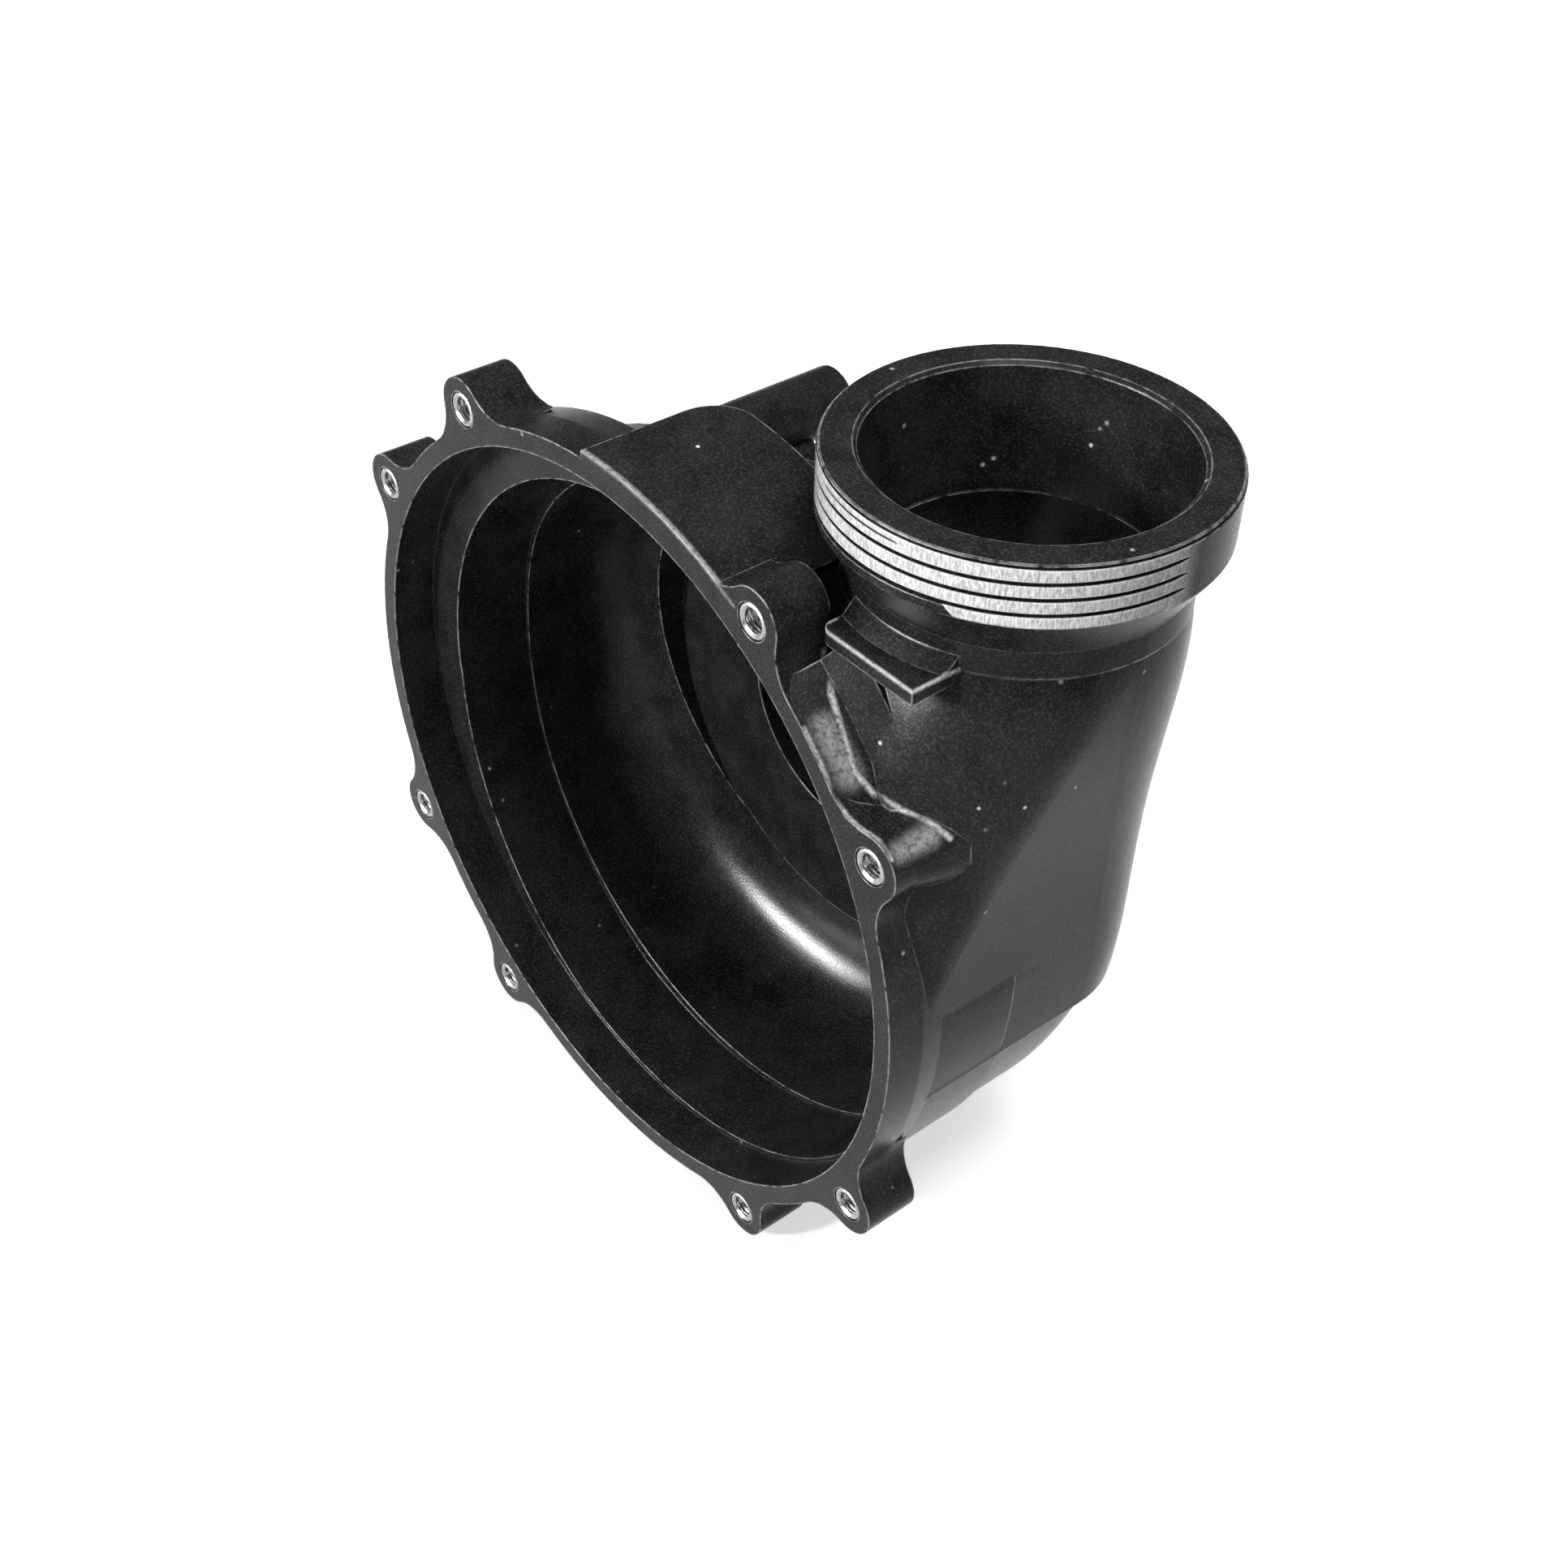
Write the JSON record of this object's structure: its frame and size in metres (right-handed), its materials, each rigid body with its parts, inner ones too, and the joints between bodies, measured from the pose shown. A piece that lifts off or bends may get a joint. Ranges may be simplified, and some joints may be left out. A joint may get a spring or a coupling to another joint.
{
  "type": "volute pump casing",
  "caption": "Volute casing of a small centrifugal pump: open front flange with ears, spiral channel, central eye, upright threaded discharge nozzle and a matching suction nozzle behind.",
  "frame": {"origin": "centre of the open front face, on the pump axis", "axes": "+Y along the pump axis from the open front to the suction nozzle, +Z along the discharge nozzle toward its mouth, +X to the right seen from the front"},
  "size_m": [0.1996, 0.112, 0.2051],
  "materials": {
    "casing_plastic": "black glass-filled moulding, satin with a fine grain",
    "insert_metal": "plain turned metal"
  },
  "bodies": {
    "root": {"casing": "casing_plastic", "threaded_insert_1": "insert_metal", "threaded_insert_2": "insert_metal", "threaded_insert_3": "insert_metal", "threaded_insert_4": "insert_metal", "threaded_insert_5": "insert_metal", "threaded_insert_6": "insert_metal", "threaded_insert_7": "insert_metal", "threaded_insert_8": "insert_metal"}
  },
  "joints": []
}
